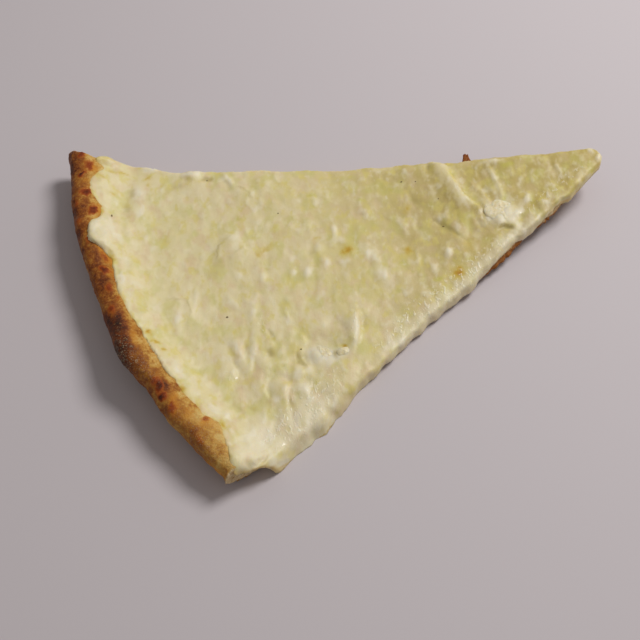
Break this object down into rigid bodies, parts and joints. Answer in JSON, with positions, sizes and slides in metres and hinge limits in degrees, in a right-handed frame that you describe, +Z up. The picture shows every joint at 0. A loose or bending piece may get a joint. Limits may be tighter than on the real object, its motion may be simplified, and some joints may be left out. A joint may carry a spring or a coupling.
{
  "type": "white pizza slice",
  "caption": "Wedge of thin-crust white pizza: puffed browned rim, flat dough base, melted cheese running over one cut and exposed ricotta curds; it sags so that point and rim are raised.",
  "frame": {"origin": "middle of the bottom of the slice's bounding box, on the surface that it rests on", "axes": "+X along the slice from the rim to the point, +Y across it towards the far cut, +Z up, out of the cheese"},
  "size_m": [0.225, 0.1752, 0.0202],
  "materials": {
    "crust": "baked dough: golden to dark brown and blistered on the rim, pale crumb at the cuts, spotted brown underneath",
    "cheese": "melted cheese, pale creamy yellow with whiter lumps and small golden spots, oily satin gloss",
    "ricotta": "curds of ricotta, off-white, rough and moist"
  },
  "bodies": {
    "root": {"crust": "crust", "cheese": "cheese", "ricotta_1": "ricotta", "ricotta_2": "ricotta", "ricotta_3": "ricotta"}
  },
  "joints": []
}
